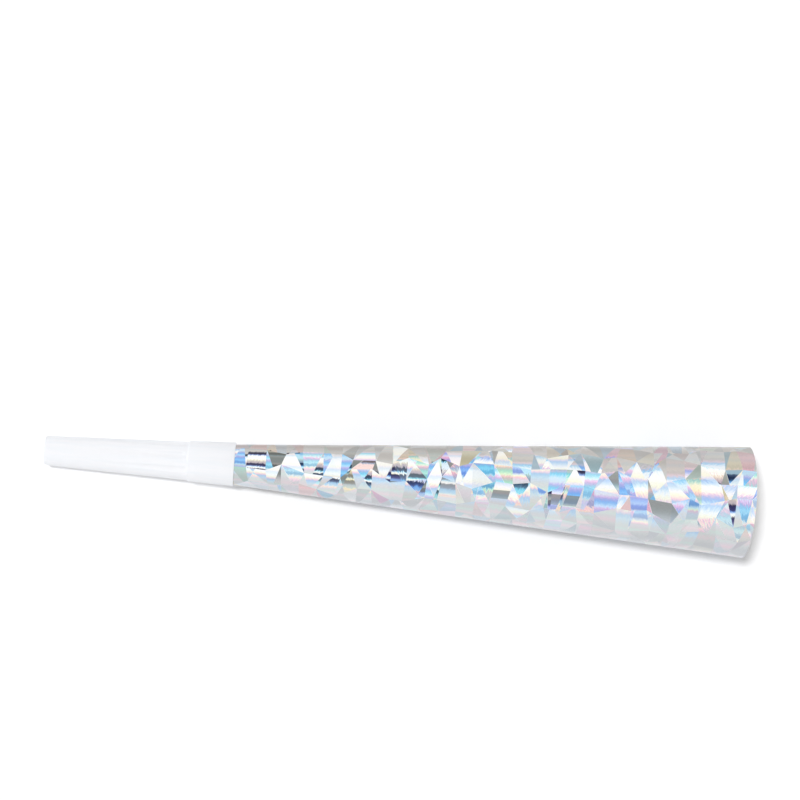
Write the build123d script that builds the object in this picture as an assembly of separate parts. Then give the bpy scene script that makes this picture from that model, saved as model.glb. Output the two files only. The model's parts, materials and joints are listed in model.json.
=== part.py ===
from build123d import *
import math
import os

# Party horn lying on its side: mouthpiece towards -X, bell towards +X, +Z up, millimetres.
# Every piece is drawn along its own axis, with x counted from the mouth end, and then laid on the floor.

# Whole horn
HORN_LENGTH = 228.6
BELL_DIAMETER = 36.6
THROAT_DIAMETER = 13.3

# Rolled cone
BOARD_THICKNESS = 0.40
FOIL_THICKNESS = 0.10
LAP_ANGLE = 32.0

# Mouthpiece, outside
TUBE_LENGTH = 46.3
MOUTH_DIAMETER = 9.5
TUBE_END_DIAMETER = 12.5
COLLAR_LENGTH = 15.0
COLLAR_START_DIAMETER = 13.2
COLLAR_END_DIAMETER = 14.2
MOUTH_EDGE_RADIUS = 0.6
COLLAR_EDGE_RADIUS = 0.15

# Flutes round the mouth tube
FLUTE_COUNT = 8
FLUTE_TURN = 27.0
FLUTE_START = 13.0
FLUTE_END_LAND = 0.7
FLUTE_DEPTH = 0.50
FLUTE_RADIUS = 2.0

# Mouthpiece, inside
MOUTH_BORE_DIAMETER = 7.2
MOUTH_BORE_LENGTH = 12.0
BORE_EDGE_RADIUS = 0.35
SOCKET_DEPTH = 13.3
REED_SEAT_DIAMETER = 9.8
REED_SEAT_LENGTH = 8.0
REED_SEAT_LEDGE = 0.4

# Reed unit
PLUG_LENGTH = 6.0
PLUG_CHAMFER = 0.3
TROUGH_DIAMETER = 5.6
CHANNEL_DIAMETER = 3.8
TROUGH_REACH = 22.0
TROUGH_END_WALL = 1.2
TROUGH_FACE_ANGLE = 2.6
TONGUE_WIDTH = 4.6
TONGUE_THICKNESS = 0.2
TONGUE_REACH = 21.4
TONGUE_ROOT = 2.5
TONGUE_CORNER_RADIUS = 1.0
WEDGE_NOSE = 0.5

# Fits
CONE_FIT = 0.06
CONE_END_GAP = 0.3
PLUG_FIT = 0.02
REED_FIT = 0.02
TONGUE_PLAY = 0.1

# Places along the axis
MOUTHPIECE_LENGTH = TUBE_LENGTH + COLLAR_LENGTH
SOCKET_FLOOR = MOUTHPIECE_LENGTH - SOCKET_DEPTH
CONE_START = SOCKET_FLOOR + CONE_END_GAP
PLUG_FACE = SOCKET_FLOOR - REED_SEAT_LENGTH
PLUG_BACK = PLUG_FACE + PLUG_LENGTH

# The rolled sheet
SHEET_THICKNESS = BOARD_THICKNESS + FOIL_THICKNESS
CONE_SLOPE = (BELL_DIAMETER - THROAT_DIAMETER) / 2 / (HORN_LENGTH - MOUTHPIECE_LENGTH)

HORN_AXIS = Axis((0, 0, 0), (1, 0, 0))
ROLL_AXIS = Axis((0, -SHEET_THICKNESS / 2, 0), (1, 0, 0))


def cone_radius(x):
    """Outside radius of the rolled cone at x."""
    return THROAT_DIAMETER / 2 + (x - MOUTHPIECE_LENGTH) * CONE_SLOPE


def tube_radius(x):
    """Outside radius of the mouth tube at x."""
    return (MOUTH_DIAMETER + (TUBE_END_DIAMETER - MOUTH_DIAMETER) * x / TUBE_LENGTH) / 2


def lap_bulge(radius):
    """How far the corner of the lap stands out of the round of the given outside radius."""
    lap = radius + SHEET_THICKNESS / 2
    half = SHEET_THICKNESS / 2
    return math.hypot(lap - half * math.cos(math.radians(LAP_ANGLE)),
                      half * math.sin(math.radians(LAP_ANGLE))) - radius


def socket_radius(x):
    """Inside radius of the collar at x, a small clearance round the cone and its lap."""
    return cone_radius(x) + lap_bulge(cone_radius(x)) + CONE_FIT


def rolled_layer(depth, thickness):
    """One layer of the sheet, rolled a little over one turn, its outer face `depth` under the outside.

    The first half turn is round the roll axis, the second half turn is round the horn axis, half a sheet
    further out, and the lap is round the roll axis again, on top of where the first half turn began. The lap
    is turned to the bottom, where its weight brings it."""

    def strip(centre, step):
        start = cone_radius(CONE_START) - SHEET_THICKNESS / 2 + step - depth
        end = cone_radius(HORN_LENGTH) - SHEET_THICKNESS / 2 + step - depth
        corners = [
            (CONE_START, centre + start - thickness),
            (CONE_START, centre + start),
            (HORN_LENGTH, centre + end),
            (HORN_LENGTH, centre + end - thickness),
        ]
        return make_face(Polyline(*corners, close=True))

    first = revolve(strip(-SHEET_THICKNESS / 2, 0), ROLL_AXIS, 180)
    second = Rot(180, 0, 0) * revolve(strip(0, SHEET_THICKNESS / 2), HORN_AXIS, 180)
    lap = revolve(strip(-SHEET_THICKNESS / 2, SHEET_THICKNESS), ROLL_AXIS, LAP_ANGLE)
    return Rot(-90 - LAP_ANGLE / 2, 0, 0) * (first + second + lap)


def paperboard_cone():
    """The rolled board."""
    return rolled_layer(FOIL_THICKNESS, BOARD_THICKNESS)


def foil_wrap():
    """The film on the outside of the board."""
    return rolled_layer(0, FOIL_THICKNESS)


def flute(angle):
    """One flute: a round groove that deepens from nothing to its full depth at a square end."""
    end = TUBE_LENGTH - FLUTE_END_LAND
    near = Vector(FLUTE_START, 0, tube_radius(FLUTE_START) + FLUTE_RADIUS)
    far = Vector(end, 0, tube_radius(end) - FLUTE_DEPTH + FLUTE_RADIUS)
    run = far - near
    cutter = extrude(Plane(far, z_dir=-run) * Circle(FLUTE_RADIUS), run.length)
    return Rot(angle, 0, 0) * cutter


def mouthpiece():
    """Fluted mouth tube and collar in one moulding."""
    mouth = MOUTH_DIAMETER / 2
    bore = MOUTH_BORE_DIAMETER / 2
    seat = REED_SEAT_DIAMETER / 2
    corners = [
        (0, bore),
        (0, mouth),
        (TUBE_LENGTH, TUBE_END_DIAMETER / 2),
        (TUBE_LENGTH, COLLAR_START_DIAMETER / 2),
        (MOUTHPIECE_LENGTH, COLLAR_END_DIAMETER / 2),
        (MOUTHPIECE_LENGTH, socket_radius(MOUTHPIECE_LENGTH)),
        (SOCKET_FLOOR, socket_radius(SOCKET_FLOOR)),
        (SOCKET_FLOOR, seat),
        (PLUG_FACE, seat),
        (PLUG_FACE, seat - REED_SEAT_LEDGE),
        (MOUTH_BORE_LENGTH, bore),
    ]
    profile = make_face(Polyline(*corners, close=True))

    def corner(index):
        return profile.vertices().sort_by_distance(Vector(*corners[index]))[0]

    profile = fillet(corner(1), MOUTH_EDGE_RADIUS)
    profile = fillet(corner(0), BORE_EDGE_RADIUS)
    profile = fillet([corner(3), corner(4)], COLLAR_EDGE_RADIUS)
    body = revolve(profile, HORN_AXIS)
    step = 360 / FLUTE_COUNT
    for index in range(FLUTE_COUNT):
        body = body - flute(FLUTE_TURN + step * index)
    return body


def round_bar(radius, start, end):
    """Bar along the horn axis from start to end."""
    return extrude(Plane((start, 0, 0), z_dir=(1, 0, 0)) * Circle(radius), end - start)


def reed_plug():
    """Round plug with the hole that holds the trough and the wedge."""
    plug = round_bar(REED_SEAT_DIAMETER / 2 - PLUG_FIT, PLUG_FACE, PLUG_BACK)
    plug = chamfer(plug.edges().group_by(Axis.X)[-1], PLUG_CHAMFER)
    return plug - round_bar(TROUGH_DIAMETER / 2 + REED_FIT, PLUG_FACE, PLUG_BACK)


def reed_trough():
    """Half-round channel whose face falls away from the tongue towards the mouth."""
    radius = TROUGH_DIAMETER / 2
    tip = PLUG_FACE - TROUGH_REACH
    drop = TROUGH_REACH * math.tan(math.radians(TROUGH_FACE_ANGLE))
    side = [(tip, -radius), (PLUG_BACK, -radius), (PLUG_BACK, 0), (PLUG_FACE, 0), (tip, -drop)]
    under = extrude(Plane.XZ * make_face(Polyline(*side, close=True)), radius, both=True)
    channel = round_bar(CHANNEL_DIAMETER / 2, tip + TROUGH_END_WALL, PLUG_BACK)
    return (round_bar(radius, tip, PLUG_BACK) & under) - channel


def reed_tongue():
    """Thin strip over the trough, its root in the slot under the wedge."""
    length = TONGUE_REACH + TONGUE_ROOT
    middle = PLUG_FACE + TONGUE_ROOT - length / 2
    outline = Rectangle(length, TONGUE_WIDTH)
    outline = fillet(outline.vertices().group_by(Axis.X)[0], TONGUE_CORNER_RADIUS)
    return extrude(Pos(middle, 0, TONGUE_PLAY) * outline, TONGUE_THICKNESS)


def reed_wedge():
    """Segment that fills the plug's hole above the tongue."""
    radius = TROUGH_DIAMETER / 2
    floor = TONGUE_THICKNESS + 2 * TONGUE_PLAY
    start = PLUG_FACE - WEDGE_NOSE
    over = Pos((start + PLUG_BACK) / 2, 0, floor) * Box(
        PLUG_BACK - start, 2 * radius, radius, align=(Align.CENTER, Align.CENTER, Align.MIN))
    return round_bar(radius, start, PLUG_BACK) & over


def resting_place():
    """Placement that lays the horn on the mouth's lower edge and the bell's lower rim, box centred on the origin.

    The tilt is that of the line through the rim's lowest point that touches the round of the mouth's edge."""
    taper = math.atan((TUBE_END_DIAMETER - MOUTH_DIAMETER) / 2 / TUBE_LENGTH)
    edge_x = MOUTH_EDGE_RADIUS
    edge_r = tube_radius(edge_x) - MOUTH_EDGE_RADIUS / math.cos(taper)
    half_lap = math.radians(LAP_ANGLE / 2)
    rim = BELL_DIAMETER / 2 + SHEET_THICKNESS / 2 * (1 - math.cos(half_lap))
    run = HORN_LENGTH - edge_x
    rise = rim - edge_r
    tilt = math.atan2(rise, run) - math.asin(MOUTH_EDGE_RADIUS / math.hypot(run, rise))
    across = Vector(math.cos(tilt), -math.sin(tilt))
    first = across.dot(Vector(edge_x, edge_r)) - MOUTH_EDGE_RADIUS
    last = across.dot(Vector(HORN_LENGTH, -rim))
    side = SHEET_THICKNESS / 4 * (1 - math.sin(half_lap))
    lift = rim * math.cos(tilt) - HORN_LENGTH * math.sin(tilt)
    return Pos(-(first + last) / 2, side, lift) * Rot(0, -math.degrees(tilt), 0)


PIECES = {
    "paperboard_cone": paperboard_cone,
    "foil_wrap": foil_wrap,
    "mouthpiece": mouthpiece,
    "reed_plug": reed_plug,
    "reed_trough": reed_trough,
    "reed_tongue": reed_tongue,
    "reed_wedge": reed_wedge,
}


def main():
    """Build every piece where it rests and write it out."""
    os.makedirs("parts", exist_ok=True)
    place = resting_place()
    for name, make in PIECES.items():
        piece = place * make()
        piece.label = name
        export_step(piece, f"parts/{name}.step")


if __name__ == "__main__":
    main()
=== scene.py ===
import json
import math
from collections import namedtuple

import bpy
import numpy as np
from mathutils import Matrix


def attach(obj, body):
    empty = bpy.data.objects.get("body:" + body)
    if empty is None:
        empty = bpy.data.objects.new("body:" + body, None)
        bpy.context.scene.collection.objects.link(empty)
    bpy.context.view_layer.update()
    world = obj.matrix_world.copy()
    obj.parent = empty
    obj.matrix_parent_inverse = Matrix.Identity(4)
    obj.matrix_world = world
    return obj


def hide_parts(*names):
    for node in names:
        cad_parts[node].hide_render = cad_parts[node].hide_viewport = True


bl_info = {
    "name": "Party horn",
    "version": (1, 0, 0),
    "blender": (4, 5, 0),
    "location": "View3D > Sidebar > Party Horn",
    "description": "Rolled party horn with a cracked-ice film, a fluted mouthpiece and a beating reed",
    "category": "Object",
}

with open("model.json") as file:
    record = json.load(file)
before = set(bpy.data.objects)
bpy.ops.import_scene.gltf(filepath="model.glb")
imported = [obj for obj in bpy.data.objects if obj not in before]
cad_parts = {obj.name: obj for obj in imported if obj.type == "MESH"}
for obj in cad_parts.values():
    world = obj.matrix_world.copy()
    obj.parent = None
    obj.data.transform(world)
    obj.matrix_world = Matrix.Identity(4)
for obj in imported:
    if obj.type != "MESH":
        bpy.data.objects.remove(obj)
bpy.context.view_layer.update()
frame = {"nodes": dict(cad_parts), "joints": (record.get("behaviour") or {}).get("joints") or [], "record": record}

# The horn's own axes: along it from the mouth end, across it, and up from the floor. The mouth end lies half
# the bore's length, in metres, before the bore's middle.
BORE_LENGTH = 0.012
PULL = next(joint for joint in frame["joints"] if joint["name"] == "mouthpiece_pull")
MOUTH_BORE = next(mount for mount in frame["record"]["mounts"] if mount["name"] == "mouth_bore")
ALONG = -np.array(PULL["axis"])
ACROSS = np.array((0.0, 1.0, 0.0))
UPRIGHT = np.cross(ALONG, ACROSS)
MOUTH_END = np.array(MOUTH_BORE["pos_m"]) - ALONG * BORE_LENGTH / 2

# How finely the surfaces are drawn, and the angle in degrees from which an edge is sharp.
ROWS_ALONG_CONE = 41
STEPS_PER_HALF_TURN = 113
STEPS_OVER_LAP = 21
STEPS_PER_FLUTE = 36
CREASE = 32.0

# Waves of the sheet's unevenness: how many round it, radians per metre along it and where each starts. They
# grow to their full depth over the ripple's run, in metres from the collar.
RIPPLE_WAVES = ((3, 26.0, 0.0), (7, -41.0, 1.1))
RIPPLE_RUN = 0.02

# A flute's square end, in metres: the length of its wall, the room round it with closer rows, and the
# rounding where the groove meets the tube.
FLUTE_WALL = 0.00006
FLUTE_END_ROOM = 0.0002
FLUTE_ROUNDING = 0.00004

# The floor, in metres: how far it reaches, its rows of points, and how far it lies under the horn.
FLOOR_REACH = 3.0
FLOOR_ROWS = 13
FLOOR_DROP = 0.00005

# The camera's sensor, in millimetres.
SENSOR_WIDTH = 36.0

BLANK_MAP = "flat_blank"
MILLIMETRES = 1000
WHITE = (1.0, 1.0, 1.0, 1.0)


def length(name, description, default):
    """A length in metres."""
    return bpy.props.FloatProperty(name=name, description=description, default=default, min=0.0,
                                   precision=5, unit="LENGTH", subtype="DISTANCE")


def place(name, description, default):
    """A place in metres."""
    return bpy.props.FloatVectorProperty(name=name, description=description, default=default, size=3,
                                         precision=5, unit="LENGTH", subtype="TRANSLATION")


def angle(name, description, degrees):
    """An angle, written in degrees."""
    return bpy.props.FloatProperty(name=name, description=description, default=math.radians(degrees),
                                   subtype="ANGLE")


def share(name, description, default, top=1.0):
    """A number from nothing to its top."""
    return bpy.props.FloatProperty(name=name, description=description, default=default, min=0.0, max=top)


def colour(name, description, shown):
    """A colour, written as the 0 to 255 numbers that it shows as."""
    return bpy.props.FloatVectorProperty(name=name, description=description, default=linear(shown), size=3,
                                         min=0.0, max=1.0, subtype="COLOR")


def linear(shown):
    """Scene-linear colour of 0 to 255 display numbers, by the sRGB curve."""
    level = np.array(shown, float) / 255
    low = level / 12.92
    high = ((level + 0.055) / 1.055) ** 2.4
    return tuple(float(part) for part in np.where(level <= 0.04045, low, high))


class ConeSizes(bpy.types.PropertyGroup):
    """Sizes of the rolled cone."""

    horn_length: length("Horn length", "From the mouth end to the bell rim", 0.2286)
    bell_diameter: length("Bell diameter", "Outside of the bell rim", 0.0366)
    throat_diameter: length("Throat diameter", "Outside of the cone where it leaves the collar", 0.0133)
    board_thickness: length("Board thickness", "Paperboard under the film", 0.0004)
    film_thickness: length("Film thickness", "Film on the board", 0.0001)
    lap_angle: angle("Lap", "How far the rolled sheet laps over itself", 32.0)
    socket_depth: length("Socket depth", "How deep the collar's socket is", 0.0133)
    end_gap: length("End gap", "Room between the cone's small end and the socket's floor", 0.0003)
    cone_fit: length("Cone fit", "Clearance between the lap and the collar", 0.00006)
    ripple: length("Ripple", "Depth of the faint unevenness of the rolled sheet", 0.00005)


class MouthpieceSizes(bpy.types.PropertyGroup):
    """Sizes of the moulded mouthpiece."""

    tube_length: length("Tube length", "From the mouth end to the collar", 0.0463)
    mouth_diameter: length("Mouth diameter", "Outside of the mouth end", 0.0095)
    tube_end_diameter: length("Tube end diameter", "Outside of the tube at the collar", 0.0125)
    collar_length: length("Collar length", "Length of the smooth collar", 0.015)
    collar_start_diameter: length("Collar start", "Outside of the collar at the tube", 0.0132)
    collar_end_diameter: length("Collar end", "Outside of the collar at the cone", 0.0142)
    mouth_edge: length("Mouth edge", "Rounding of the outer mouth edge", 0.0006)
    bore_edge: length("Bore edge", "Rounding of the inner mouth edge", 0.00035)
    collar_edge: length("Collar edge", "Rounding of the collar's edges", 0.00015)
    bore_diameter: length("Bore diameter", "Air hole at the mouth", 0.0072)
    seat_diameter: length("Seat diameter", "Bore that holds the reed's plug", 0.0098)
    seat_length: length("Seat length", "Length of the plug's bore", 0.008)
    seat_ledge: length("Seat ledge", "Ledge that stops the plug", 0.0004)
    flute_count: bpy.props.IntProperty(name="Flutes", description="Grooves round the tube", default=8, min=3)
    flute_turn: angle("Flute turn", "Turn of the first flute from the top", 27.0)
    flute_start: length("Flute start", "Where the flutes fade out, from the mouth end", 0.013)
    flute_land: length("Flute land", "Plain ring between the flutes' square ends and the collar", 0.0007)
    flute_depth: length("Flute depth", "Depth at the square end", 0.0005)
    flute_radius: length("Flute radius", "Radius of the groove", 0.002)


class Colours(bpy.types.PropertyGroup):
    """Colours of the horn and of the floor."""

    board: colour("Board", "Uncoated side of the paperboard", (250, 249, 246))
    board_fibre: colour("Board fibre", "Darker fibres in the board", (236, 233, 226))
    # Painted shade: the film's grey zone, painted darker on one side of the flash.
    film_painted_shade: colour("Film shade", "Film in the grey zone on one side of the flash", (195, 192, 188))
    # Painted reflection: the film's pale zone, painted lighter on the other side of the flash.
    film_painted_pale: colour("Film pale", "Film in the pale zone on the other side", (211, 213, 214))
    # Painted reflection: some shards painted dark, as if they mirrored nothing bright.
    film_painted_dark: colour("Film dark", "Shards that mirror nothing bright", (130, 136, 134))
    plastic: colour("Plastic", "White moulded plastic", (249, 250, 254))
    plastic_cloud: colour("Plastic cloud", "Cloudy patches in the white plastic", (245, 248, 253))
    reed: colour("Reed", "Moulded reed parts", (236, 236, 230))
    tongue: colour("Tongue", "Plastic film of the reed's tongue", (222, 226, 230))
    floor: colour("Floor", "Studio floor", (251, 251, 252))


class Stage(bpy.types.PropertyGroup):
    """Camera, lamps and floor."""

    camera_place: place("Camera place", "Where the camera stands", (-0.07422, 0.02493, 0.70835))
    camera_turn: bpy.props.FloatVectorProperty(
        name="Camera turn", description="How the camera is turned", size=3, subtype="EULER",
        default=(-0.00786, -0.10367, 0.07582))
    camera_lens: bpy.props.FloatProperty(
        name="Lens", description="Focal length on a 36 mm sensor", default=96.86, min=1.0, unit="CAMERA")
    key_place: place("Key place", "Where the light over the horn shines from", (-0.65, 0.34, 2.0))
    key_light: share("Key light", "Strength of the soft light from over the horn", 1.86, 10.0)
    key_spread: angle("Key spread", "How broad the light over the horn is, seen from the horn", 8.0)
    fill_place: place("Fill place", "Where the light beside the horn shines from", (0.1, -2.2, 0.35))
    fill_light: share("Fill light", "Strength of the broad light from beside the horn", 0.5, 10.0)
    fill_spread: angle("Fill spread", "How broad the light beside the horn is, seen from the horn", 14.0)
    room_light: share("Room light", "Even light from all round", 0.42, 4.0)
    overhead: share("Overhead", "White of the room overhead, against 1 at the horizon", 1.04, 2.0)
    floor_lift: share("Floor lift", "How much the floor's own white is raised in view", 0.1)


class Wire:
    """A value that changes over a surface: one socket, whose operators add Math nodes."""

    def __init__(self, tree, socket):
        self.tree = tree
        self.socket = socket

    def other(self, name):
        """Another output of the same node."""
        return Wire(self.tree, self.socket.node.outputs[name])

    def math(self, operation, *terms):
        """Result of one Math node."""
        node = self.tree.nodes.new("ShaderNodeMath")
        node.operation = operation
        for socket, term in zip(node.inputs, terms):
            plug(self.tree, socket, term)
        return Wire(self.tree, node.outputs[0])

    def __add__(self, term):
        return self.math("ADD", self, term)

    def __sub__(self, term):
        return self.math("SUBTRACT", self, term)

    def __rsub__(self, term):
        return self.math("SUBTRACT", term, self)

    def __mul__(self, term):
        return self.math("MULTIPLY", self, term)

    def __truediv__(self, term):
        return self.math("DIVIDE", self, term)

    def __gt__(self, term):
        return self.math("GREATER_THAN", self, term)

    def __lt__(self, term):
        return self.math("LESS_THAN", self, term)

    def __abs__(self):
        return self.math("ABSOLUTE", self)

    __radd__ = __add__
    __rmul__ = __mul__

    def floor(self):
        return self.math("FLOOR", self)

    def sin(self):
        return self.math("SINE", self)

    def cos(self):
        return self.math("COSINE", self)

    def zigzag(self):
        """0 at even whole numbers and 1 at odd ones, straight between."""
        return self.math("PINGPONG", self, 1.0)

    def larger(self, term):
        return self.math("MAXIMUM", self, term)


def plug(tree, socket, value):
    """Link a wire to a socket, or set the socket's own value."""
    if isinstance(value, Wire):
        tree.links.new(value.socket, socket)
    else:
        socket.default_value = value


class Finish:
    """The nodes of a material or of the world."""

    def __init__(self, owner):
        owner.use_nodes = True
        self.tree = owner.node_tree
        self.tree.nodes.clear()

    def add(self, kind, output, settings, sockets):
        """Add a node: its settings first, then its sockets by name or identifier; give the named output."""
        node = self.tree.nodes.new(kind)
        for name, value in settings.items():
            if name == "stops":
                set_stops(node.color_ramp, value)
            else:
                setattr(node, name, value)
        for name, value in sockets.items():
            socket = next(each for each in node.inputs if name in (each.identifier, each.name))
            plug(self.tree, socket, value)
        if output is None:
            return None
        return Wire(self.tree, next(each for each in node.outputs if output in (each.identifier, each.name)))

    def mix(self, amount, first, second, way="MIX"):
        """First colour turned into the second by an amount."""
        return self.add("ShaderNodeMix", "Result_Color", {"data_type": "RGBA", "blend_type": way},
                        {"Factor_Float": amount, "A_Color": first, "B_Color": second})

    def ramp(self, value, stops):
        """Colour at a value, from pairs of a place from 0 to 1 and the display numbers of the colour."""
        stops = [(spot, linear(shown)) for spot, shown in stops]
        return self.add("ShaderNodeValToRGB", "Color", {"stops": stops}, {"Fac": value})

    def point(self, x, y, z):
        return self.add("ShaderNodeCombineXYZ", "Vector", {}, {"X": x, "Y": y, "Z": z})

    def vector(self, operation, **sockets):
        """Result of one Vector Math node."""
        return self.add("ShaderNodeVectorMath", "Vector", {"operation": operation}, sockets)

    def dice(self, x, y, z):
        """Three random numbers that belong to a place."""
        noise = self.add("ShaderNodeTexWhiteNoise", "Color", {"noise_dimensions": "3D"},
                         {"Vector": self.point(x, y, z)})
        red = self.add("ShaderNodeSeparateColor", "Red", {}, {"Color": noise})
        return red, red.other("Green"), red.other("Blue")

    def noise(self, where, scale, detail):
        return self.add("ShaderNodeTexNoise", "Fac", {}, {"Vector": where, "Scale": scale, "Detail": detail})

    def stretched(self, where, scale):
        """A place with its three coordinates scaled apart."""
        return self.add("ShaderNodeMapping", "Vector", {}, {"Vector": where, "Scale": scale})

    def step(self, value, low, high, first=0.0, second=1.0):
        """First below low, second above high, and smooth between."""
        return self.add("ShaderNodeMapRange", "Result", {"interpolation_type": "SMOOTHSTEP"}, {
            "Value": value, "From Min": low, "From Max": high, "To Min": first, "To Max": second})

    def bump(self, height, strength, distance):
        return self.add("ShaderNodeBump", "Normal", {}, {
            "Height": height, "Strength": strength, "Distance": distance})

    def surface(self, sockets):
        shader = self.add("ShaderNodeBsdfPrincipled", "BSDF", {}, sockets)
        self.add("ShaderNodeOutputMaterial", None, {}, {"Surface": shader})


def set_stops(ramp, stops):
    """Give a ramp its stops: pairs of a place from 0 to 1 and a colour."""
    while len(ramp.elements) > 1:
        ramp.elements.remove(ramp.elements[-1])
    for index, (spot, tint) in enumerate(stops):
        stop = ramp.elements[0] if index == 0 else ramp.elements.new(spot)
        stop.position = spot
        stop.color = opaque(tint)


def opaque(tint):
    return (*tint, 1.0)


def mouthpiece_length(mouth):
    return mouth.tube_length + mouth.collar_length


def cone_slope(cone, mouth):
    rise = (cone.bell_diameter - cone.throat_diameter) / 2
    return rise / (cone.horn_length - mouthpiece_length(mouth))


def cone_radius(cone, mouth, x):
    """Outside radius of the cone at x: straight from the throat to the bell."""
    return cone.throat_diameter / 2 + (x - mouthpiece_length(mouth)) * cone_slope(cone, mouth)


def cone_start(cone, mouth):
    return mouthpiece_length(mouth) - cone.socket_depth + cone.end_gap


def carried(x, y, z):
    """Points on the horn's own axes, carried into the shared frame."""
    return MOUTH_END + x[..., None] * ALONG + y[..., None] * ACROSS + z[..., None] * UPRIGHT


def rolled_face(cone, mouth, depth, x, turn):
    """Face of the rolled sheet at a depth under its outside, for places along and turns round.

    Over the first half turn the face is round an axis that lies half a sheet off the horn's, at half a sheet
    less than the cone's radius. Over the second half turn it is round the horn's axis at the cone's radius,
    and over the lap round the first axis at half a sheet more. A faint inward ripple of a few waves
    round and along it runs out at the collar."""
    sheet = cone.board_thickness + cone.film_thickness
    x, turn = np.meshgrid(x, turn, indexing="ij")
    start = -math.pi / 2 - cone.lap_angle / 2
    bearing = turn + start
    second = (turn >= math.pi) & (turn < 2 * math.pi)
    centre = np.where(second, 0.0, -sheet / 2)
    stand = np.where(turn < math.pi, -sheet / 2, np.where(second, 0.0, sheet / 2))
    free = np.clip((x - mouthpiece_length(mouth)) / RIPPLE_RUN, 0, 1)
    waves = sum(1 + np.sin(around * bearing + along * x + first) for around, along, first in RIPPLE_WAVES)
    ripple = cone.ripple * free * waves / (2 * len(RIPPLE_WAVES))
    radius = cone_radius(cone, mouth, x) + stand - depth - ripple
    y = centre * math.cos(start) + radius * np.cos(bearing)
    z = centre * math.sin(start) + radius * np.sin(bearing)
    return carried(x, y, z)


def sheet_grid(cone, mouth):
    """Places along the cone and turns round it, with the joins of the roll among them."""
    x = np.linspace(cone_start(cone, mouth), cone.horn_length, ROWS_ALONG_CONE)
    half = np.linspace(0, math.pi, STEPS_PER_HALF_TURN)
    lap = np.linspace(0, cone.lap_angle, STEPS_OVER_LAP)
    turn = np.concatenate((half[:-1], half[:-1] + math.pi, lap + 2 * math.pi))
    return x, turn


def quads(index):
    """Four corners of each cell of a grid of vertex numbers."""
    corners = (index[:-1, :-1], index[1:, :-1], index[1:, 1:], index[:-1, 1:])
    return np.stack(corners, -1).reshape(-1, 4)


def thin_solid(outer, inner):
    """Vertices and faces of the closed solid between two faces, with strips round their edges."""
    count = outer.shape[0] * outer.shape[1]
    top = np.arange(count).reshape(outer.shape[:2])
    under = top + count
    edges = [
        quads(np.stack((under[0], top[0]))),
        quads(np.stack((top[-1], under[-1]))),
        quads(np.stack((top[:, 0], under[:, 0]))),
        quads(np.stack((under[:, -1], top[:, -1]))),
    ]
    faces = np.concatenate([quads(top), quads(under)[:, ::-1], *edges])
    return np.concatenate((outer.reshape(-1, 3), inner.reshape(-1, 3))), faces


def ring_solid(rows):
    """Vertices and faces of rings that close on themselves and on each other."""
    index = np.arange(rows.shape[0] * rows.shape[1]).reshape(rows.shape[:2])
    index = np.concatenate((index, index[:1]), 0)
    index = np.concatenate((index, index[:, :1]), 1)
    return rows.reshape(-1, 3), quads(index)


def outward(points, faces):
    """Faces turned so that the solid's volume, summed over its triangles, is positive."""
    a, b, c, d = (points[faces[:, corner]] for corner in range(4))
    volume = np.einsum("ij,ij->", a, np.cross(b, c)) + np.einsum("ij,ij->", a, np.cross(c, d))
    return faces if volume > 0 else faces[:, ::-1]


def new_piece(name, points, faces, material, blank=None):
    """Object at the origin from vertices and faces, smooth but for its creases.

    If the places of the vertices on the flat blank are given, they become its map."""
    faces = outward(points, faces)
    mesh = bpy.data.meshes.new(name)
    mesh.from_pydata(points.tolist(), [], faces.tolist())
    mesh.polygons.foreach_set("use_smooth", np.ones(len(faces), bool))
    mesh.set_sharp_from_angle(angle=math.radians(CREASE))
    if blank is not None:
        layer = mesh.uv_layers.new(name=BLANK_MAP)
        layer.data.foreach_set("uv", blank[faces.ravel()].astype(np.float32).ravel())
    mesh.materials.append(material)
    made = bpy.data.objects.new(name, mesh)
    bpy.context.scene.collection.objects.link(made)
    return made


def rolled_piece(cone, mouth, name, depth, thickness, material):
    """One layer of the rolled sheet as a closed solid, its map the shares along and round the blank."""
    x, turn = sheet_grid(cone, mouth)
    outer = rolled_face(cone, mouth, depth, x, turn)
    inner = rolled_face(cone, mouth, depth + thickness, x, turn)
    points, faces = thin_solid(outer, inner)
    along, around = np.meshgrid((x - x[0]) / (x[-1] - x[0]), turn / turn[-1], indexing="ij")
    blank = np.stack((along, around), -1).reshape(-1, 2)
    return new_piece(name, points, faces, material, blank=np.concatenate((blank, blank)))


def arc(centre, radius, first, last, rows):
    """Points of an arc in the plane of x and radius, between two angles in degrees."""
    turn = np.radians(np.linspace(first, last, rows))
    return np.stack((centre[0] + radius * np.cos(turn), centre[1] + radius * np.sin(turn)), 1)


def run(first, last, rows):
    """Points of a straight run, without its ends."""
    return np.linspace(first, last, rows + 2)[1:-1]


def tube_rise(mouth):
    return (mouth.tube_end_diameter - mouth.mouth_diameter) / 2 / mouth.tube_length


def tube_radius(mouth, x):
    """Outside radius of the tube at x: straight from the mouth end to the collar."""
    return mouth.mouth_diameter / 2 + tube_rise(mouth) * x


def flute_end(mouth):
    return mouth.tube_length - mouth.flute_land


def socket_radius(cone, mouth, x):
    """Inside radius of the collar at x: the corner of the lap, and the fit."""
    sheet = cone.board_thickness + cone.film_thickness
    lap = cone_radius(cone, mouth, x) + sheet / 2
    corner = np.hypot(lap - sheet / 2 * math.cos(cone.lap_angle), sheet / 2 * math.sin(cone.lap_angle))
    return corner + cone.cone_fit


def mouth_outline(mouth):
    """Outer edge of the mouth, rounded from its face into the tube's slope."""
    edge = mouth.mouth_edge
    lean = math.atan(tube_rise(mouth))
    centre = (edge, tube_radius(mouth, edge) - edge / math.cos(lean))
    return arc(centre, edge, 180, 90 + math.degrees(lean), rows=9)


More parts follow.
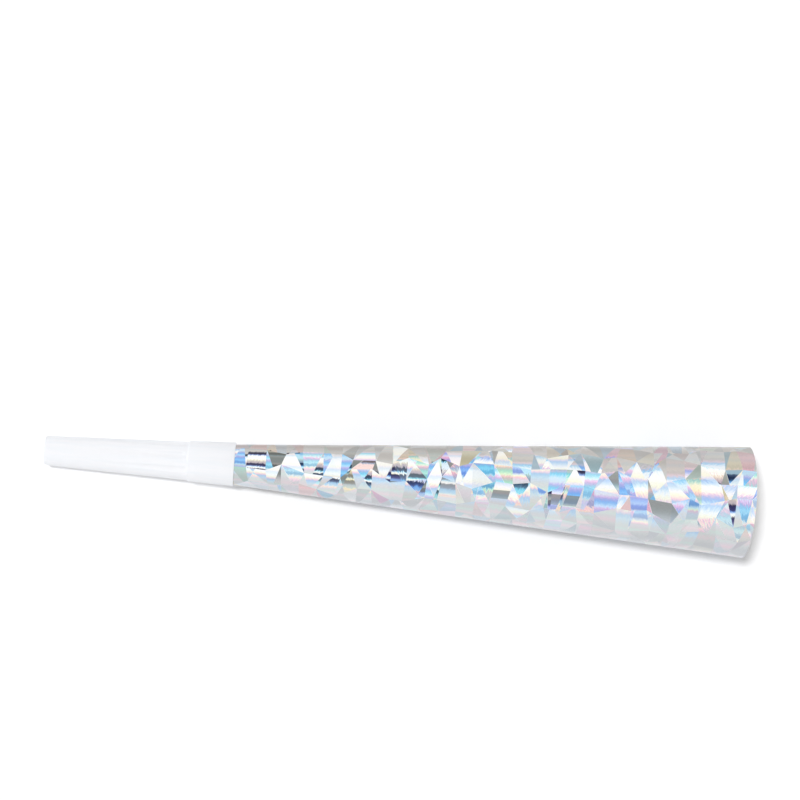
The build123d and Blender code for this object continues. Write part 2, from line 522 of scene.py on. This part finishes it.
def tube_outline(mouth, first):
    """Straight outside of the tube from a place on, with closer rows at the flutes' square ends."""
    end = flute_end(mouth)
    x = np.concatenate((
        np.linspace(first, mouth.flute_start, 16)[1:],
        np.linspace(mouth.flute_start, end - FLUTE_END_ROOM, 60)[1:],
        end + FLUTE_END_ROOM * np.linspace(-0.75, 0.25, 5),
        np.linspace(end + FLUTE_END_ROOM, mouth.tube_length, 4),
    ))
    return np.stack((x, tube_radius(mouth, x)), 1)


def collar_outline(mouth):
    """Outside of the collar: two rounded edges and the straight slope between them."""
    edge = mouth.collar_edge
    start = mouth.collar_start_diameter / 2
    end = mouth.collar_end_diameter / 2
    rise = (end - start) / mouth.collar_length
    slope = 90 + math.degrees(math.atan(rise))
    first_centre = (mouth.tube_length + edge, start + rise * edge - edge)
    last_centre = (mouthpiece_length(mouth) - edge, end - rise * edge - edge)
    first = arc(first_centre, edge, 180, slope, rows=6)
    last = arc(last_centre, edge, slope, 0, rows=6)
    return np.concatenate((first, run(first[-1], last[0], rows=10), last))


def mouthpiece_section(cone, mouth):
    """Section of the mouthpiece, as places and radii, and which of its rows lie on the tube.

    It goes out over the mouth, along the tube, the collar and the socket, and back through the reed's seat,
    the chamber and the bore."""
    end = mouthpiece_length(mouth)
    floor = end - cone.socket_depth
    ledge = floor - mouth.seat_length
    bore = mouth.bore_diameter / 2
    seat = mouth.seat_diameter / 2
    edge = mouth.bore_edge
    rounded = mouth_outline(mouth)
    tube = tube_outline(mouth, rounded[-1, 0])
    parts = [
        arc((edge, bore + edge), edge, 270, 180, rows=9),
        run((0, bore + edge), rounded[0], rows=3),
        rounded,
        tube,
        collar_outline(mouth),
        np.array([(end, socket_radius(cone, mouth, end)), (floor, socket_radius(cone, mouth, floor))]),
        np.array([(floor, seat), (ledge, seat), (ledge, seat - mouth.seat_ledge)]),
        run((ledge, seat - mouth.seat_ledge), (BORE_LENGTH, bore), rows=12),
        np.array([(BORE_LENGTH, bore)]),
        run((BORE_LENGTH, bore), (edge, bore), rows=4),
    ]
    on_tube = np.concatenate([np.full(len(part), part is tube) for part in parts])
    return np.concatenate(parts), on_tube


def fluted(mouth, x, turn, radius):
    """Radius of the tube with its flutes.

    A flute is a round groove of steady radius, whose centre lies that radius less the depth outside the tube.
    The depth grows evenly from the flute's start to its square end. The surface is the smaller of tube and
    groove, rounded where they meet."""
    pitch = 2 * math.pi / mouth.flute_count
    aside = np.abs((turn - mouth.flute_turn + pitch / 2) % pitch - pitch / 2)
    end = flute_end(mouth)
    depth = mouth.flute_depth * (x - mouth.flute_start) / (end - mouth.flute_start)
    depth = depth * np.clip((end + FLUTE_WALL / 2 - x) / FLUTE_WALL, 0, 1)
    centre = radius - depth + mouth.flute_radius
    reach = np.maximum(mouth.flute_radius ** 2 - (centre * np.sin(aside)) ** 2, 0)
    gap = centre * np.cos(aside) - np.sqrt(reach) - radius
    sunk = radius + 0.5 * (gap - np.sqrt(gap ** 2 + FLUTE_ROUNDING ** 2)) + 0.5 * FLUTE_ROUNDING
    return np.where((reach > 0) & (depth > 0), np.minimum(sunk, radius), radius)


def mouthpiece_rings(cone, mouth):
    """Rings of the mouthpiece: its section carried round the axis, with the flutes sunk into the tube."""
    section, on_tube = mouthpiece_section(cone, mouth)
    columns = STEPS_PER_FLUTE * mouth.flute_count
    turn = 2 * math.pi * np.arange(columns) / columns
    x, turn = np.meshgrid(section[:, 0], turn, indexing="ij")
    radius = np.broadcast_to(section[:, 1:], x.shape)
    radius = np.where(on_tube[:, None], fluted(mouth, x, turn, radius), radius)
    return carried(x, -radius * np.sin(turn), radius * np.cos(turn))


# Bands of colour that the film shows: degrees round the cone from the middle of the flash, and the display
# numbers of the colour there. The flash is a painted highlight: the film's rainbow bands, painted light and
# dark where the lamp's reflection falls. They are narrow and deep at the throat, broad and soft at the bell,
# nearly white in the brightest shards, a painted highlight too, and faint on the flanks of the flash.
THROAT_BANDS = (
    (-39, (190, 184, 178)), (-36, (96, 98, 116)), (-33, (46, 54, 78)), (-30, (56, 64, 90)),
    (-27, (120, 184, 232)), (-25, (250, 254, 254)), (-15, (254, 253, 246)), (-12, (238, 226, 200)),
    (-8, (196, 178, 184)), (-5, (186, 172, 184)), (-3, (38, 48, 84)), (2, (50, 70, 114)),
    (4, (100, 184, 230)), (6, (240, 253, 253)), (8, (252, 252, 248)), (10, (44, 54, 90)),
    (16, (76, 98, 150)), (19, (104, 176, 234)), (25, (142, 200, 240)), (27, (246, 244, 222)),
    (29, (242, 178, 180)), (31, (246, 222, 180)), (33, (206, 204, 230)), (37, (210, 214, 217)),
)
BELL_BANDS = (
    (-34, (200, 197, 193)), (-31, (226, 208, 212)), (-28, (140, 194, 234)), (-25, (186, 224, 246)),
    (-21, (250, 252, 252)), (-16, (253, 250, 236)), (-13, (240, 204, 228)), (-10, (180, 190, 230)),
    (-7, (142, 196, 238)), (-4, (176, 222, 246)), (-1, (222, 244, 252)), (2, (242, 196, 228)),
    (5, (202, 184, 226)), (8, (150, 184, 230)), (11, (146, 204, 242)), (14, (168, 214, 243)),
    (17, (122, 176, 226)), (21, (112, 166, 216)), (24, (218, 236, 242)), (26, (252, 242, 208)),
    (28, (250, 192, 214)), (31, (216, 212, 224)), (37, (211, 215, 217)),
)
# Bands of the white shards: a painted highlight.
BRIGHT_BANDS = (
    (-36, (200, 197, 193)), (-32, (224, 208, 214)), (-29, (176, 214, 240)), (-25, (246, 250, 254)),
    (-14, (255, 254, 246)), (-7, (255, 248, 222)), (-4, (238, 226, 240)), (-1, (182, 212, 244)),
    (3, (212, 236, 250)), (7, (250, 252, 254)), (12, (255, 250, 226)), (16, (246, 212, 226)),
    (19, (178, 206, 236)), (25, (196, 220, 238)), (33, (212, 215, 217)),
)
# Faint bands beside the flash, over painted shade on the grey side, darkest furthest from the flash, and over
# painted pale reflection on the other side.
FLANK_BANDS = (
    (-62, (184, 180, 176)), (-58, (192, 188, 183)), (-54, (196, 197, 195)), (-50, (208, 202, 198)),
    (-46, (198, 202, 202)), (-41, (211, 208, 201)), (40, (208, 224, 220)), (44, (213, 215, 218)),
    (49, (226, 212, 218)), (54, (210, 214, 216)), (61, (200, 204, 208)),
)

# Tints of single shards, spread from 0 to 1.
PASTELS = (
    (0.0, (202, 230, 255)), (0.28, (190, 226, 255)), (0.44, (194, 238, 254)), (0.54, (255, 249, 214)),
    (0.66, (255, 240, 218)), (0.78, (255, 208, 230)), (0.88, (252, 212, 240)), (0.94, (204, 248, 230)),
    (1.0, (220, 212, 255)),
)

# Where the flash lies, a painted highlight: degrees from its middle to the middle of the grey zone of painted
# shade on one side and of the pale one of painted reflection on the other, degrees from the top of the cone to
# its middle, and the count of zones there. That is an even number and a half, so that the count rises from
# grey to pale and stays over nothing all round.
HALF_ZONE = 66.0
FLASH_TURN = 5.0
FLASH_COUNT = 4.5

# The grid of the film's shards, in millimetres, and how far its corners are moved, in columns and rows.
COLUMN_WIDTH = 5.6
ROW_HEIGHT = 6.4
CORNER_SWAY = 0.5
CORNER_RISE = 0.7

# The share of the cells that each cut splits, the least share of the opposite edge that a cut reaches, and
# what marks the parts of a split cell among the throws of the dice.
FIRST_CUTS = 0.75
SECOND_CUTS = 0.6
LEAST_CUT = 0.2
FIRST_MARK = 0.37
SECOND_MARK = 0.29

# Which throws of the dice the corners, the cells, their cuts and the shards get.
CORNER_SEED = 703.5
CELL_SEED = 701.5
CUT_SEED = 712.5
SHARD_SEEDS = (13.5, 67.5, 127.5, 187.5)

# Shards whose height is over the first number or under the second show the bands of another place.
RAISED = 0.78
SUNK = 0.07

# A few cuts carry a painted highlight, a thin white line: about how wide, in millimetres, and the lie over which a
# shard's cut has one.
PAINTED_GLINT_WIDTH = 0.07
PAINTED_GLINT_LIE = 0.7

# How far a shard leans out of the film.
LEAN = 0.14

# A shard's random numbers from 0 to 1, and about how far its first cut is, in millimetres.
Shard = namedtuple("Shard", "grating height lie glow mirror depth hue pastel tint broad lift upper cut")


def corner(film, column, row):
    """Where a corner of the shards lies: its place on the grid, moved by amounts of its own."""
    moved = film.dice(column, row, CORNER_SEED)
    return column + (moved[0] - 0.5) * CORNER_SWAY, row + (moved[1] - 0.5) * CORNER_RISE


def beside(first, last, x, y):
    """Over nothing on the left of the line from the first point to the last, and under it on the right."""
    return (last[0] - first[0]) * (y - first[1]) - (last[1] - first[1]) * (x - first[0])


def between(first, last, part):
    """The point at a share of the way from the first point to the last."""
    return tuple(start + (stop - start) * part for start, stop in zip(first, last))


def shards(film):
    """The shard at a place of the flat blank.

    Corners lie on a grid of columns that stand across the horn and of rows along it. Straight edges join them
    into four-sided cells. Up to two cuts split a cell, each from a corner to the opposite edge."""
    x = film.x / COLUMN_WIDTH
    y = film.y / ROW_HEIGHT
    wall = (x + 0.5).floor()
    level = (y + 0.5).floor()
    foot = level - 1.0 + (y > corner(film, wall, level)[1])
    past_wall = beside(corner(film, wall, foot), corner(film, wall, foot + 1.0), x, y) < 0.0
    column = wall - 1.0 + past_wall
    past_level = beside(corner(film, column, level), corner(film, column + 1.0, level), x, y) > 0.0
    row = level - 1.0 + past_level

    cell = film.dice(column, row, CELL_SEED)
    cuts = film.dice(column, row, CUT_SEED)
    over = cell[0] > 0.5
    near = row + over
    far = row + 1.0 - over
    near_left = corner(film, column, near)
    near_right = corner(film, column + 1.0, near)
    far_left = corner(film, column, far)
    far_right = corner(film, column + 1.0, far)
    first_end = between(far_left, far_right, cell[1] * (1.0 - LEAST_CUT) + LEAST_CUT)
    second_end = between(far_right, far_left, cell[2] * (1.0 - LEAST_CUT) + LEAST_CUT)
    first = beside(near_left, first_end, x, y)
    second = beside(near_right, second_end, x, y)
    across = column + (first > 0.0) * (cuts[0] < FIRST_CUTS) * FIRST_MARK
    down = row + (second > 0.0) * (cuts[1] < SECOND_CUTS) * SECOND_MARK
    throws = [throw for seed in SHARD_SEEDS for throw in film.dice(across, down, seed)]
    return Shard(*throws, cut=abs(first) * COLUMN_WIDTH + (cuts[0] > FIRST_CUTS))


class IceFilm(Finish):
    """The nodes of the film, with the places that its colours go by.

    along is the share of the way from the cone's small end to its rim. x and y are millimetres on the flat
    blank, which is a part of a ring with the cone's tip at its centre. count numbers the zones round the
    cone, and zone folds it up: 0 in the middle of a grey zone of painted shade, 0.5 in that of a flash, a
    painted highlight, and 1 in that of a pale zone of painted reflection."""

    def __init__(self, owner, cone, mouth):
        super().__init__(owner)
        slope = cone_slope(cone, mouth)
        fan = slope / math.hypot(1, slope)
        near = cone_radius(cone, mouth, cone_start(cone, mouth)) / fan * MILLIMETRES
        far = cone_radius(cone, mouth, cone.horn_length) / fan * MILLIMETRES
        top = math.pi + cone.lap_angle / 2
        blank = self.add("ShaderNodeUVMap", "UV", {"uv_map": BLANK_MAP}, {})
        self.along = self.add("ShaderNodeSeparateXYZ", "X", {}, {"Vector": blank})
        turn = self.along.other("Y") * (2 * math.pi + cone.lap_angle)
        reach = near + self.along * (far - near)
        spread = (turn - top) * fan
        self.x = reach * spread.cos()
        self.y = reach * spread.sin()
        flash = top - math.radians(FLASH_TURN)
        self.count = (turn - flash) / math.radians(2 * HALF_ZONE) + FLASH_COUNT
        self.zone = self.count.zigzag()
        self.off_flash = abs(self.zone - 0.5)
        # Below: how near a place is to the flash, a painted highlight, and how far into the pale zone of painted
        # reflection it lies.
        self.near_flash = self.step(self.off_flash, 0.14, 0.32, 1.0, 0.1)
        self.painted_pale_side = self.step(self.zone, 0.6, 0.85)

    def bands(self, phase, colours):
        """Colour of the bands at a phase, which is a zone as the shard shows it."""
        return self.ramp(phase, [(0.5 + degrees / 2 / HALF_ZONE, shown) for degrees, shown in colours])


def shown_phase(film, shard):
    """The zone of painted light and shade that a place shows: its own, shifted by the shard's grating and height,
    and frayed by strokes.

    Gratings are of three kinds. The strokes lie along the shard's own direction."""
    grating = (shard.grating * 3.0).floor() / 2.0 - 0.5
    lifted = (shard.height > RAISED) * (0.12 + shard.lift * 0.12) * (1.0 - film.painted_pale_side)
    shift = grating * 0.16 + lifted - (shard.height < SUNK) * 0.17
    lie = (shard.lie - 0.5) * 1.8
    stroke_across = (film.x * lie.cos() + film.y * lie.sin()) * 2.4
    stroke_along = (film.y * lie.cos() - film.x * lie.sin()) * 0.5
    strokes = film.noise(film.point(stroke_across, stroke_along, shard.lie * 40.0), 1.0, 3.0) - 0.5
    frayed = strokes * film.step(shard.mirror, 0.3, 1.0, 0.04, 0.15)
    frayed = frayed * film.step(film.along, 0.2, 0.6, 0.6, 1.0)
    return (film.count + shift * film.step(film.along, 0.05, 0.5, 0.65, 1.0)).zigzag() + frayed


def painted_highlight_colour(film, shard, phase, white):
    """Colour in the flash, a painted highlight: the throat's bands or the bell's, of a hue a little of the shard's
    own.

    The bell's bands take over along the cone, in moved shards and on the grey side. White shards, a painted
    highlight too, have bands of their own, whiter towards the throat."""
    along = film.along
    moved = (shard.height > RAISED).larger(shard.height < SUNK)
    upper = (film.zone < 0.3) * (shard.upper < film.step(along, 0.1, 0.3, 0.0, 0.75))
    broad = (shard.broad < film.step(along, 0.15, 0.8, 0.0, 0.88)).larger(moved).larger(upper)
    flash = film.mix(broad, film.bands(phase, THROAT_BANDS), film.bands(phase, BELL_BANDS))
    flash = film.add("ShaderNodeHueSaturation", "Color", {}, {
        "Color": flash,
        "Hue": shard.hue * 0.1 + 0.44,
        "Saturation": film.step(along, 0.1, 0.4, 0.7, 0.86) * film.step(film.zone, 0.62, 0.8, 1.0, 0.6),
    })
    flash = film.mix(white * 0.92, flash, film.bands(phase, BRIGHT_BANDS))
    # Painted highlight: white shards turn whiter towards the throat.
    whiter_highlight = white * film.step(along, 0.4, 0.65, 0.55, 0.0) * film.step(phase, 0.55, 0.62, 1.0, 0.0)
    return film.mix(whiter_highlight, flash, WHITE)


def painted_flank_colour(film, phase, colours):
    """Colour beside the flash: painted shade, grey, on one side and a painted pale reflection on the other, with
    faint bands.
    """
    plain = film.mix(film.step(phase, 0.25, 0.75), opaque(colours.film_painted_shade), opaque(colours.film_painted_pale))
    return film.mix(0.8, plain, film.bands(phase, FLANK_BANDS))


def painted_dark_share(film, shard):
    """How far a shard is painted dark, as a painted reflection of nothing bright: a few shards, most at the throat
    and a little to the pale side.
    """
    rare = film.step(film.along, 0.15, 0.4, 0.17, 0.06)
    rare = rare + film.step(abs(film.zone - 0.64), 0.03, 0.08, 0.11, 0.0)
    painted_dark = (shard.mirror < rare) * film.step(film.off_flash, 0.14, 0.32, 1.0, 0.4)
    painted_dark = painted_dark * film.step(film.off_flash, 0.0, 0.08, 0.35, 1.0) * (1.0 - film.painted_pale_side * 0.9)
    return painted_dark * film.step(film.along, 0.2, 0.6, 1.0, 0.85)


def tint_share(film, shard, white):
    """How far a shard takes its pastel: less in white shards of painted highlight, in the pale zone of painted
    reflection and in the grey one of painted shade.
    """
    tinted = film.step(shard.tint, 0.15, 0.7) * (1.0 - white * 0.8)
    tinted = tinted * (1.0 - film.painted_pale_side * film.step(film.along, 0.1, 0.8, 0.15, 0.75))
    return tinted * film.step(film.zone, 0.1, 0.3, 0.62, 1.0)


def shard_level_and_painted_shade(film, shard):
    """How light a shard is: its own level, most uneven beside the flash, a fine grain in the flash, and painted
    light and shade.

    The flash is a little lighter, a painted highlight. The grey zone is painted darker towards the throat, and
    the pale zone towards the bell: painted shade."""
    uneven = film.step(film.off_flash, 0.1, 0.3, 0.04, 0.16)
    uneven = uneven * (1.0 + film.painted_pale_side * film.step(film.along, 0.3, 0.8, 0.7, -0.1))
    grain = film.noise(film.point(film.x * 1.6, film.y * 4.5, shard.hue * 30.0), 1.0, 3.0) - 0.5
    # Painted highlight: the flash a little lighter than its flanks, with each shard's own uneven level on top.
    level = film.step(film.off_flash, 0.1, 0.3, 1.05, 0.99) + (shard.depth - 0.5) * uneven
    level = level + grain * film.near_flash * 0.3
    # Painted shade: the grey zone darker towards the throat, and the pale zone darker towards the bell.
    level = level - film.step(film.zone, 0.08, 0.28, 0.09, 0.0) * film.step(film.along, 0.35, 0.7, 1.0, 0.0)
    return level - film.step(film.zone, 0.75, 1.0, 0.0, 0.09) * film.step(film.along, 0.6, 0.9)


def leaning_normal(film, shard):
    """Normal of the film, leaned by an amount of the shard's own."""
    facing = film.add("ShaderNodeNewGeometry", "Normal", {}, {})
    way = film.point(shard.height - 0.5, shard.lie - 0.5, shard.depth - 0.5)
    leaning = film.vector("ADD", Vector=facing, Vector_001=film.vector("SCALE", Vector=way, Scale=LEAN))
    return film.vector("NORMALIZE", Vector=leaning)


def film_finish(cone, mouth, colours):
    """Metallised film embossed in shards, straight-edged pieces of the flat blank with a grating each.

    Bands of colour run along the cone, in a flash, a painted highlight, between a grey zone of painted shade
    and a pale zone of painted reflection. Each shard shifts or tints them, whitens them with painted highlight
    or darkens them with painted dark reflection, by amounts of its own, and a few cuts carry painted highlight
    lines."""
    material = bpy.data.materials.new("cracked_ice_film")
    film = IceFilm(material, cone, mouth)
    shard = shards(film)
    phase = shown_phase(film, shard)
    # Painted highlight: shards whose glow is over this are white shards, with nearly white bands.
    painted_highlight_from = film.step(film.along, 0.2, 0.5, 0.69, 0.62) + film.step(film.along, 0.5, 0.8, 0.0, 0.09)
    white = shard.glow > painted_highlight_from
    # Painted reflection: how far each shard is painted dark.
    painted_dark = painted_dark_share(film, shard)
    # The painted highlight fades into the painted flank colours away from the flash's middle and in some shards.
    faded = film.step(abs(phase - 0.5), 0.27, 0.3).larger(film.step(shard.depth, 0.85, 1.0, 0.0, 0.4))
    shown = film.mix(faded, painted_highlight_colour(film, shard, phase, white), painted_flank_colour(film, phase, colours))
    # Painted reflection: shards painted dark take the dark film colour.
    shown = film.mix(painted_dark, shown, opaque(colours.film_painted_dark))
    pastel = film.ramp(shard.pastel, PASTELS)
    tinted = film.mix(tint_share(film, shard, white) * (1.0 - painted_dark), shown, pastel, "MULTIPLY")
    lit = film.vector("SCALE", Vector=tinted, Scale=shard_level_and_painted_shade(film, shard))
    # Painted highlight: thin white lines along a few cuts near the flash.
    painted_glint = (shard.cut < PAINTED_GLINT_WIDTH) * (shard.lie > PAINTED_GLINT_LIE) * film.near_flash * 0.8
    film.surface({
        "Base Color": film.mix(painted_glint, lit, WHITE),
        "Metallic": 1.0,
        "Roughness": 0.22 + shard.glow * 0.12,
        "Normal": leaning_normal(film, shard),
    })
    return material


def board_finish(colours):
    """Uncoated paperboard: short fibres along the horn and soft clouds."""
    material = bpy.data.materials.new("uncoated_board")
    board = Finish(material)
    where = board.add("ShaderNodeTexCoord", "Object", {}, {})
    fibres = board.noise(board.stretched(where, (1400.0, 4200.0, 4200.0)), 1.0, 4.0)
    clouds = board.noise(where, 220.0, 2.0)
    worn = board.step(fibres + clouds * 0.25, 0.5, 0.85, 0.0, 0.7)
    board.surface({
        "Base Color": board.mix(worn, opaque(colours.board), opaque(colours.board_fibre)),
        "Roughness": 0.82 + clouds * 0.12,
        "Normal": board.bump(fibres, 0.25, 0.00005),
    })
    return material


def plastic_finish(colours):
    """White moulded plastic: faint flow lines along the tube and a satin skin."""
    material = bpy.data.materials.new("white_moulding")
    plastic = Finish(material)
    where = plastic.add("ShaderNodeTexCoord", "Object", {}, {})
    flow = plastic.noise(plastic.stretched(where, (40.0, 700.0, 700.0)), 1.0, 3.0)
    skin = plastic.noise(where, 4200.0, 2.0)
    cloudy = plastic.step(flow, 0.35, 0.7)
    plastic.surface({
        "Base Color": plastic.mix(cloudy, opaque(colours.plastic), opaque(colours.plastic_cloud)),
        "Roughness": 0.34 + flow * 0.14,
        "Normal": plastic.bump(flow + skin * 0.15, 0.12, 0.00004),
        "Subsurface Weight": 0.2,
        "Subsurface Radius": (1.0, 1.0, 1.0),
        "Subsurface Scale": 0.001,
    })
    return material


def reed_finish(name, tint, rough):
    """Small moulded or cut plastic part: fine mottle and a fine skin."""
    material = bpy.data.materials.new(name)
    part = Finish(material)
    where = part.add("ShaderNodeTexCoord", "Object", {}, {})
    mottle = part.noise(where, 900.0, 4.0)
    dim = [level * 0.93 for level in tint]
    part.surface({
        "Base Color": part.mix(part.step(mottle, 0.4, 0.7), opaque(tint), opaque(dim)),
        "Roughness": mottle * 0.15 + rough,
        "Normal": part.bump(mottle, 0.15, 0.00003),
    })
    return material


def seen_rays(finish):
    """1 for rays from the camera, also off gloss or through glass, and 0 for rays that only bring light."""
    camera = finish.add("ShaderNodeLightPath", "Is Camera Ray", {}, {})
    mirrored = camera.larger(camera.other("Is Glossy Ray")).larger(camera.other("Is Transmission Ray"))
    return mirrored * (camera.other("Diffuse Depth") < 0.5)


def paper_finish(stage, colours):
    """Pale floor paper with a faint mottle, its white raised where it is seen."""
    material = bpy.data.materials.new("studio_paper")
    paper = Finish(material)
    where = paper.add("ShaderNodeTexCoord", "Object", {}, {})
    mottle = paper.noise(where, 60.0, 3.0)
    dim = [level * 0.97 for level in colours.floor]
    tint = paper.mix(mottle * 0.1, opaque(colours.floor), opaque(dim))
    matt = paper.add("ShaderNodeBsdfDiffuse", "BSDF", {}, {"Color": tint})
    raised = paper.add("ShaderNodeEmission", "Emission", {}, {
        "Color": opaque(colours.floor), "Strength": seen_rays(paper) * stage.floor_lift})
    both = paper.add("ShaderNodeAddShader", "Shader", {}, {"Shader": matt, "Shader_001": raised})
    paper.add("ShaderNodeOutputMaterial", None, {}, {"Surface": both})
    return material


def lay_floor(stage, colours):
    """Square floor, a flat grid just under the horn."""
    reach = np.linspace(-FLOOR_REACH, FLOOR_REACH, FLOOR_ROWS)
    x, y = np.meshgrid(reach, reach, indexing="ij")
    points = np.stack((x, y, np.full_like(x, -FLOOR_DROP)), -1).reshape(-1, 3)
    faces = quads(np.arange(FLOOR_ROWS ** 2).reshape(FLOOR_ROWS, FLOOR_ROWS))
    mesh = bpy.data.meshes.new("studio_floor")
    mesh.from_pydata(points.tolist(), [], faces.tolist())
    mesh.materials.append(paper_finish(stage, colours))
    floor = bpy.data.objects.new("studio_floor", mesh)
    bpy.context.scene.collection.objects.link(floor)


def light_room(scene, stage):
    """Even light from all round. What is seen or mirrored of the room is white, and brighter overhead."""
    world = bpy.data.worlds.new("room")
    scene.world = world
    room = Finish(world)
    way = room.add("ShaderNodeTexCoord", "Generated", {}, {})
    height = room.add("ShaderNodeSeparateXYZ", "Z", {}, {"Vector": way})
    rays = seen_rays(room)
    strength = rays * room.step(height, 0.0, 1.0, 1.0, stage.overhead) + (1.0 - rays) * stage.room_light
    light = room.add("ShaderNodeBackground", "Background", {}, {"Color": WHITE, "Strength": strength})
    room.add("ShaderNodeOutputWorld", None, {}, {"Surface": light})


def hang_lamp(name, where, strength, spread):
    """Soft lamp so far off that it lights the whole floor alike, shining from a place towards the horn."""
    lamp = bpy.data.lights.new(name, "SUN")
    lamp.energy = strength
    lamp.angle = spread
    holder = bpy.data.objects.new(name, lamp)
    holder.location = where
    holder.rotation_euler = (-holder.location).to_track_quat("-Z", "Y").to_euler()
    holder.visible_camera = False
    holder.visible_glossy = False
    bpy.context.scene.collection.objects.link(holder)


def stand_camera(scene, stage):
    """The camera, at the photograph's angle."""
    camera = bpy.data.cameras.new("camera")
    camera.sensor_width = SENSOR_WIDTH
    camera.lens = stage.camera_lens
    holder = bpy.data.objects.new("camera", camera)
    holder.location = stage.camera_place
    holder.rotation_euler = stage.camera_turn
    scene.collection.objects.link(holder)
    scene.camera = holder


class HORN_OT_stage(bpy.types.Operator):
    """Set the floor, the lamps, the room light and the camera"""

    bl_idname = "party_horn.stage"
    bl_label = "Set the stage"

    def execute(self, context):
        scene = context.scene
        stage = scene.party_horn_stage
        scene.view_settings.view_transform = "Standard"
        lay_floor(stage, scene.party_horn_colours)
        light_room(scene, stage)
        hang_lamp("key_lamp", stage.key_place, stage.key_light, stage.key_spread)
        hang_lamp("fill_lamp", stage.fill_place, stage.fill_light, stage.fill_spread)
        stand_camera(scene, stage)
        return {"FINISHED"}


class HORN_OT_board(bpy.types.Operator):
    """Roll the paperboard"""

    bl_idname = "party_horn.board"
    bl_label = "Roll the board"

    def execute(self, context):
        cone = context.scene.party_horn_cone
        mouth = context.scene.party_horn_mouthpiece
        material = board_finish(context.scene.party_horn_colours)
        made = rolled_piece(cone, mouth, "rolled_board", cone.film_thickness, cone.board_thickness, material)
        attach(made, "cone")
        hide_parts("paperboard_cone")
        return {"FINISHED"}


class HORN_OT_film(bpy.types.Operator):
    """Wrap the film round the board"""

    bl_idname = "party_horn.film"
    bl_label = "Wrap the film"

    def execute(self, context):
        cone = context.scene.party_horn_cone
        mouth = context.scene.party_horn_mouthpiece
        material = film_finish(cone, mouth, context.scene.party_horn_colours)
        made = rolled_piece(cone, mouth, "ice_film", 0.0, cone.film_thickness, material)
        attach(made, "cone")
        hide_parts("foil_wrap")
        return {"FINISHED"}


class HORN_OT_mouthpiece(bpy.types.Operator):
    """Mould the fluted mouthpiece"""

    bl_idname = "party_horn.mouthpiece"
    bl_label = "Mould the mouthpiece"

    def execute(self, context):
        cone = context.scene.party_horn_cone
        mouth = context.scene.party_horn_mouthpiece
        material = plastic_finish(context.scene.party_horn_colours)
        points, faces = ring_solid(mouthpiece_rings(cone, mouth))
        made = new_piece("fluted_mouthpiece", points, faces, material)
        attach(made, "mouth_unit")
        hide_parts("mouthpiece")
        return {"FINISHED"}


class HORN_OT_reed(bpy.types.Operator):
    """Finish the reed's plug, trough, wedge and tongue"""

    bl_idname = "party_horn.reed"
    bl_label = "Finish the reed"

    def execute(self, context):
        colours = context.scene.party_horn_colours
        moulded = reed_finish("reed_moulding", colours.reed, 0.45)
        film = reed_finish("tongue_film", colours.tongue, 0.2)
        for node in ("reed_plug", "reed_trough", "reed_wedge"):
            frame["nodes"][node].material_slots[0].material = moulded
        frame["nodes"]["reed_tongue"].material_slots[0].material = film
        return {"FINISHED"}


class HORN_PT_panel(bpy.types.Panel):
    """Sizes, colours and pieces of the party horn"""

    bl_idname = "HORN_PT_panel"
    bl_label = "Party Horn"
    bl_space_type = "VIEW_3D"
    bl_region_type = "UI"
    bl_category = "Party Horn"

    def draw(self, context):
        for operator in OPERATORS:
            self.layout.operator(operator.bl_idname)
        for name, group in GROUPS.items():
            column = self.layout.column()
            held = getattr(context.scene, name)
            for field in group.__annotations__:
                column.prop(held, field)


GROUPS = {
    "party_horn_cone": ConeSizes,
    "party_horn_mouthpiece": MouthpieceSizes,
    "party_horn_colours": Colours,
    "party_horn_stage": Stage,
}
OPERATORS = (HORN_OT_stage, HORN_OT_board, HORN_OT_film, HORN_OT_mouthpiece, HORN_OT_reed)


def register():
    for name, group in GROUPS.items():
        bpy.utils.register_class(group)
        setattr(bpy.types.Scene, name, bpy.props.PointerProperty(type=group))
    for item in (*OPERATORS, HORN_PT_panel):
        bpy.utils.register_class(item)


def unregister():
    for item in (HORN_PT_panel, *reversed(OPERATORS)):
        bpy.utils.unregister_class(item)
    for name, group in GROUPS.items():
        delattr(bpy.types.Scene, name)
        bpy.utils.unregister_class(group)


def main():
    """Make every piece in order."""
    register()
    bpy.ops.party_horn.stage()
    bpy.ops.party_horn.board()
    bpy.ops.party_horn.film()
    bpy.ops.party_horn.mouthpiece()
    bpy.ops.party_horn.reed()


if __name__ == "__main__":
    main()
